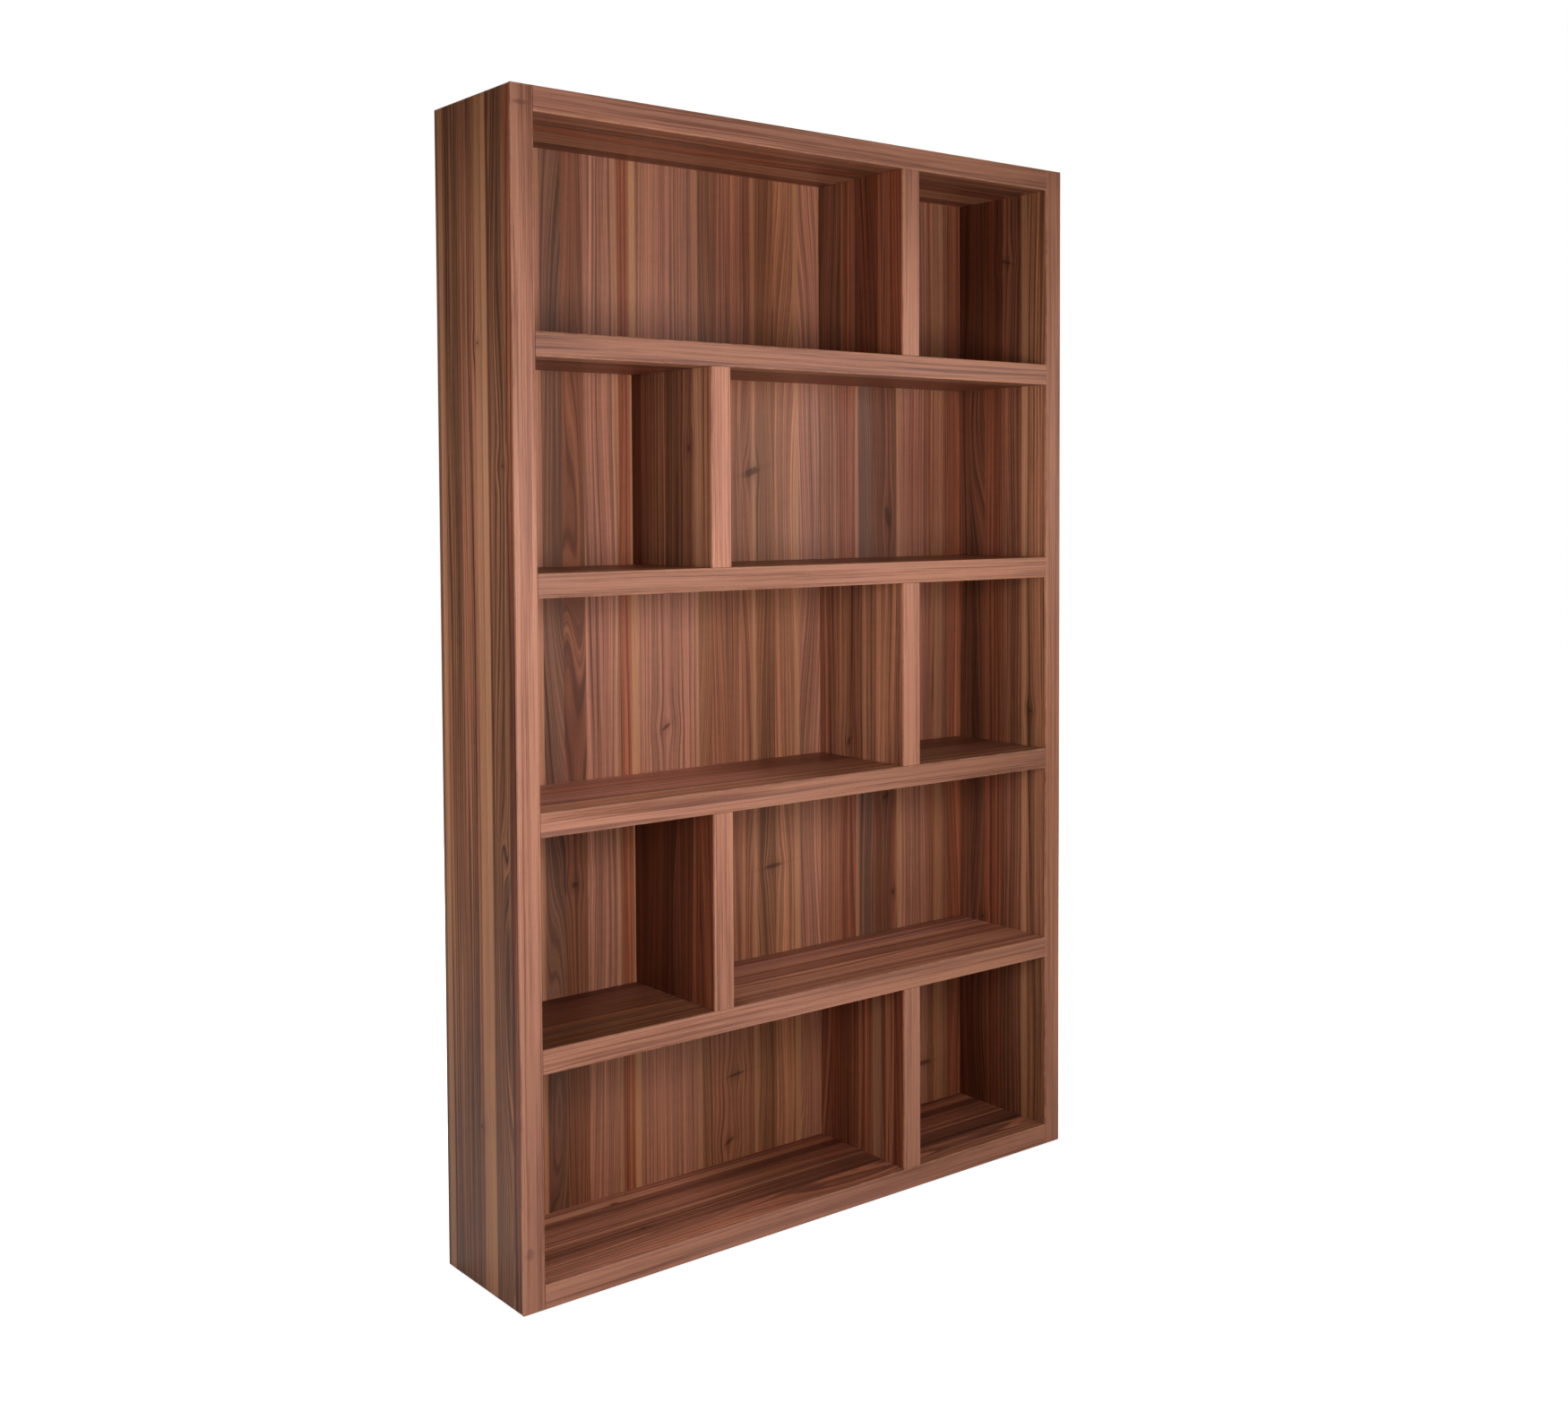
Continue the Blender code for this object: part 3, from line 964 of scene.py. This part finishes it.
def rebate_of_back():
    """The space of the back panel and behind it, a little larger than the panel."""
    low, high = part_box("back_panel")
    slack = Vector((GROOVE_SLACK,) * 3)
    return low - slack, Vector((high.x + GROOVE_SLACK, high.y + REBATE_RUN_OUT, high.z + GROOVE_SLACK))


def add_sides():
    for side, outward in (("left", -1), ("right", 1)):
        node = f"side_panel_{side}"
        faces = {
            None: MATERIALS["edge_upright"],
            (X, outward): MATERIALS[f"outer_{side}"],
            (X, -outward): MATERIALS[f"inner_{side}"],
            (Z, 1): MATERIALS["edge_across"],
            (Z, -1): MATERIALS["edge_across"],
        }
        rounded = [((X, outward), other) for other in ((Z, 1), (Z, -1), (Y, 1))]
        piece = add_board(f"{node}_veneered", node, faces, rounded, [rebate_of_back(), *grooves_of(node)])


def add_level_boards():
    for node in LEVEL_BOARDS:
        faces = {
            None: MATERIALS[f"{node}_top"],
            (Z, -1): MATERIALS[f"{node}_under"],
            (Y, 1): MATERIALS["edge_level"],
        }
        grooves = grooves_of(node)
        rounded = []
        if node in ("bottom_panel", "top_panel"):
            grooves = [rebate_of_back(), *grooves]
            rounded = [((Z, 1 if node == "top_panel" else -1), (Y, 1))]
        piece = add_board(f"{node}_veneered", node, faces, rounded, grooves)


def add_dividers():
    for node in DIVIDERS:
        faces = {
            None: MATERIALS[f"{node}_right"],
            (X, -1): MATERIALS[f"{node}_left"],
        }
        piece = add_board(f"{node}_veneered", node, faces, grooves=grooves_of(node))


# How strongly a strip shows purple streaks, and how light it is at its left or lower end and at the other:
# partly the strip's own tone, partly painted light and shade where the light falls off towards the ends.
STRIPS = {
    "top_panel": (0.35, 0.97, 0.78),
    "shelf_4": (1.0, 0.74, 1.02),
    "shelf_3": (0.05, 0.76, 1.06),
    "shelf_2": (0.9, 1.02, 0.68),
    "shelf_1": (0.45, 1.04, 0.86),
    "bottom_panel": (0.5, 0.96, 0.84),
    "side_left": (0.15, 1.0, 1.0),
    "side_right": (0.35, 0.97, 0.99),
    "divider_2": (0.1, 1.10, 1.10),
    "divider_4": (0.1, 1.10, 1.10),
}
PLAIN_STRIP = (0.1, 1.0, 1.0)


def add_lippings():
    across_x = [((Y, -1), (X, 1)), ((Y, -1), (X, -1))]
    across_z = [((Y, -1), (Z, 1)), ((Y, -1), (Z, -1))]
    for number, node in enumerate(sorted(nodes_called("lipping")), start=1):
        rounded, along, material = across_z, X, MATERIALS["lipping_level"]
        if "divider" in node or "side" in node:
            rounded, along, material = across_x, Z, MATERIALS["lipping_upright"]
        if "side" in node:
            rounded = across_x + across_z
        board = node.removeprefix("lipping_")
        if board == "side_right":
            material = MATERIALS["lipping_right"]
        piece = add_board(f"front_strip_{board}", node, {None: material}, rounded)
        mark_strip(piece.data, along, number, *STRIPS.get(board, PLAIN_STRIP))


# ------------------------ back panel, screws and glides
def screw_places():
    """Middle of each screw on the rear of the back panel: round its edge and into every shelf."""
    low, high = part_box("back_panel")
    left, right = low.x + SCREW_INSET, high.x - SCREW_INSET
    xs = [left + (right - left) * i / (SCREW_COLUMNS - 1) for i in range(SCREW_COLUMNS)]
    places = [(x, z) for x in xs for z in (low.z + SCREW_INSET, high.z - SCREW_INSET)]
    for shelf in LEVEL_BOARDS[1:-1]:
        bottom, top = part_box(shelf)
        places += [(x, (bottom.z + top.z) / 2) for x in xs]
    for lower, upper in zip(LEVEL_BOARDS, LEVEL_BOARDS[1:]):
        middle = (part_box(lower)[1].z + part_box(upper)[0].z) / 2
        places += [(left, middle), (right, middle)]
    return sorted(places, key=lambda place: (round(place[1], 4), place[0]))


def screw_sink(x, z):
    """What is cut out of the panel for a screw: a hole with a countersunk mouth."""
    hole, mouth = SCREW_SHANK + SINK_GAP, SCREW_RADIUS + SINK_GAP
    bottom, outside = -SCREW_DEPTH - 2 * MM, 1 * MM
    profile = [
        (0.0, bottom), (hole, bottom), (hole, -SCREW_DEPTH), (mouth, 0.0), (mouth, outside), (0.0, outside),
    ]
    sink = bmesh.new()
    turn(sink, profile, (x, REAR, z), (0, 1, 0), 24)
    return sink


def add_back_panel():
    faces = {(Y, -1): MATERIALS["back_front"], None: MATERIALS["back_rear"]}
    panel = add_slab("back_panel_veneered", "back_panel", faces, [])
    cutter = bmesh.new()
    for x, z in screw_places():
        absorb(cutter, screw_sink(x, z))
    cut_away(panel, cutter, len(panel.data.materials) - 1)
    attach(panel, "root")
    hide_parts("back_panel")


def cross_recess():
    """The cross that is cut into a screw's head, narrower at its bottom."""
    arm, slot, depth, taper = 2.1 * MM, 0.45 * MM, 1.3 * MM, 0.35
    recess = bmesh.new()
    for half_x, half_z in ((arm, slot), (slot, arm)):
        for corner in bmesh.ops.create_cube(recess, size=2)["verts"]:
            x, y, z = corner.co
            width = taper if y < 0 else 1.0
            corner.co = Vector((x * half_x * width, y * depth, z * half_z * width))
    return recess


def screw_mesh():
    """A countersunk head with a cross recess, about the point where its axis meets the panel's rear."""
    bottom, sunk, rim = -SCREW_DEPTH - 1.5 * MM, 0.05 * MM, 0.3 * MM
    profile = [
        (0.0, bottom),
        (SCREW_SHANK - 0.1 * MM, bottom),
        (SCREW_SHANK, -SCREW_DEPTH),
        (SCREW_RADIUS, -sunk - rim),
        (SCREW_RADIUS, -sunk - rim / 3),
        (SCREW_RADIUS - rim, -sunk),
        (0.0, -sunk),
    ]
    head = bmesh.new()
    turn(head, profile, (0, 0, 0), (0, 1, 0))
    screw = link_object("screw", mesh_from("screw", head))
    cut_away(screw, cross_recess(), crossing=True)
    mesh = screw.data
    bpy.data.objects.remove(screw)
    mesh.materials.append(MATERIALS["screw"])
    smooth(mesh)
    return mesh


def add_screws():
    master = screw_mesh()
    for number, (x, z) in enumerate(screw_places(), start=1):
        mesh = master.copy()
        mesh.transform(Matrix.Translation((x, REAR, z)) @ Matrix.Rotation(number * SCREW_TURN, 4, "Y"))
        screw = link_object(f"back_screw_{number:02d}", mesh)
        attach(screw, "root")
    bpy.data.meshes.remove(master)


def add_glides():
    """A moulded nylon disc with a domed, rimmed foot, and the nail through it."""
    for node in sorted(nodes_called("glide")):
        low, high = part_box(node)
        centre = ((low.x + high.x) / 2, (low.y + high.y) / 2, low.z)
        radius = (high.x - low.x) / 2
        chamfer, steps = 0.3 * MM, 6
        angles = [math.pi / 2 * i / steps for i in range(steps + 1)]
        profile = [
            (0.0, 0.35 * MM),
            (0.45 * radius, 0.25 * MM),
            (0.62 * radius, 0.0),
            *((radius - DISC_RIM * (1 - math.sin(a)), DISC_RIM * (1 - math.cos(a))) for a in angles),
            (radius, DISC_HEIGHT - chamfer),
            (radius - chamfer, DISC_HEIGHT),
            (0.0, DISC_HEIGHT),
        ]
        shape = bmesh.new()
        turn(shape, profile, centre, (0, 0, 1), 48)
        disc_faces = len(shape.faces)

        tip = high.z - low.z
        shoulder = tip - NAIL_POINT
        profile = [(0.0, DISC_HEIGHT), (NAIL_RADIUS, DISC_HEIGHT), (NAIL_RADIUS, shoulder), (0.0, tip)]
        nail = bmesh.new()
        turn(nail, profile, centre, (0, 0, 1), 24)
        absorb(shape, nail)
        shape.faces.ensure_lookup_table()
        for face in shape.faces[disc_faces:]:
            face.material_index = 1
        piece = add_object(node.replace("glide", "foot"), shape, [MATERIALS["nylon"], MATERIALS["nail"]])
        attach(piece, "root")
        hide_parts(node)


def finish_tongues():
    for node in nodes_called("tongue"):
        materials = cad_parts[node].data.materials
        materials.clear()
        materials.append(MATERIALS["plywood"])


# ------------------------ studio
FLOOR_REACH = 14.0
FLOOR_GLOW = (0.80, 1.0)  # that the camera sees under the bookcase and far from it
GLOW_STARTS, GLOW_FULL = 0.8, 2.4  # metres from the middle
WHITE = (1.0, 1.0, 1.0)
SURROUND = 0.10  # strength of the even light from all round

# Azimuth 0 is straight in front of the bookcase, and 90 is on its right.
# name: (azimuth, distance, height, (width, height of the box), watts, (x, z) that it looks at)
LIGHTS = {
    "front_left_box": (-20, 2.4, 1.35, (0.8, 1.2), 21, (0.0, 1.1)),
    "near_box": (-12, 1.5, 1.5, (0.6, 0.6), 6, (0.0, 1.5)),
    "left_front_box": (-45, 2.6, 1.5, (0.8, 1.2), 6.5, (0.0, 1.1)),
    "left_box": (-72, 3.4, 1.4, (0.8, 1.8), 10, (0.0, 1.1)),
    "far_left_box": (-86, 2.4, 1.3, (0.8, 1.4), 10.5, (0.0, 1.1)),
    "right_strip": (51, 5.0, 1.6, (0.6, 1.6), 19, (0.0, 1.1)),
    "right_box": (40, 3.2, 1.8, (0.6, 1.0), 9, (0.0, 1.1)),
    "rear_box": (160, 4.0, 1.6, (1.6, 1.6), 70, (0.1, 1.1)),
    "far_right_box": (100, 4.0, 1.6, (1.2, 1.6), 30, (0.0, 1.1)),
    "overhead_box": (180, 0.6, 4.6, (2.0, 1.0), 58, (0.0, 2.2)),
}

CAMERA_PLACE = (-2.248, -2.857, 1.460)
CAMERA_TURN = 38.41  # degrees from +Y towards +X
CAMERA_TILT = -2.47
CAMERA_ROLL = -0.27
CAMERA_LENS = 40.23
CAMERA_SENSOR = 36.0
CAMERA_SHIFT = -0.08


def add_floor():
    """A wide pale floor, slightly mottled. The camera sees it nearly white, with a faint shadow on it."""
    corners = [(x * FLOOR_REACH, y * FLOOR_REACH, 0) for x, y in ((-1, -1), (1, -1), (1, 1), (-1, 1))]
    mesh = bpy.data.meshes.new("floor")
    mesh.from_pydata(corners, [], [range(4)])
    floor = link_object("floor", mesh)
    graph = Graph("studio_floor")
    x, y, _ = graph.position()
    mottle = graph.noise(x * 3.0, y * 3.0, 0.0, detail=4.0)
    colour = graph.ramp(mottle, [(0.3, (0.86, 0.86, 0.855)), (0.7, (0.90, 0.90, 0.895))])
    seen = Value(graph, graph.node("LightPath").outputs["Is Camera Ray"])
    away = graph.between(graph.math("SQRT", x * x + y * y), GLOW_STARTS, GLOW_FULL)
    near, far = FLOOR_GLOW
    graph.set(
        Base_Color=colour,
        Roughness=0.75 + (mottle - 0.5) * 0.1,
        Specular_IOR_Level=0.2,
        Emission_Color=WHITE,
        Emission_Strength=seen * (near + away * (far - near)),
    )
    mesh.materials.append(graph.material)


def add_lights():
    for name, (azimuth, distance, height, size, watts, aim) in LIGHTS.items():
        light = bpy.data.lights.new(name, "AREA")
        light.shape = "RECTANGLE"
        light.size, light.size_y = size
        light.energy = watts
        box = link_object(name, light)
        heading = math.radians(azimuth)
        box.location = (distance * math.sin(heading), -distance * math.cos(heading), height)
        target = Vector((aim[0], 0, aim[1]))
        box.rotation_euler = (box.location - target).to_track_quat("Z", "Y").to_euler()


def add_world():
    """A dim even surround that the camera sees as white paper."""
    world = bpy.data.worlds.new("studio")
    world.use_nodes = True
    tree = world.node_tree
    surround = tree.nodes["Background"]
    paper = tree.nodes.new("ShaderNodeBackground")
    for background, strength in ((surround, SURROUND), (paper, 1.0)):
        background.inputs["Color"].default_value = (*WHITE, 1.0)
        background.inputs["Strength"].default_value = strength
    seen = tree.nodes.new("ShaderNodeLightPath")
    mixed = tree.nodes.new("ShaderNodeMixShader")
    tree.links.new(seen.outputs["Is Camera Ray"], mixed.inputs[0])
    tree.links.new(surround.outputs[0], mixed.inputs[1])
    tree.links.new(paper.outputs[0], mixed.inputs[2])
    tree.links.new(mixed.outputs[0], tree.nodes["World Output"].inputs["Surface"])
    bpy.context.scene.world = world


def add_camera():
    data = bpy.data.cameras.new("camera")
    data.sensor_width = CAMERA_SENSOR
    data.lens = CAMERA_LENS
    data.shift_y = CAMERA_SHIFT
    camera = link_object("camera", data)
    turned = Matrix.Rotation(-math.radians(CAMERA_TURN), 4, "Z")
    tilted = Matrix.Rotation(math.radians(90 + CAMERA_TILT), 4, "X")
    rolled = Matrix.Rotation(math.radians(CAMERA_ROLL), 4, "Z")
    camera.matrix_world = Matrix.Translation(CAMERA_PLACE) @ turned @ tilted @ rolled
    bpy.context.scene.camera = camera


add_sides()
add_level_boards()
add_dividers()
add_back_panel()
add_lippings()
add_screws()
add_glides()
finish_tongues()
add_floor()
add_lights()
add_world()
add_camera()
bpy.context.scene.view_settings.view_transform = "Standard"
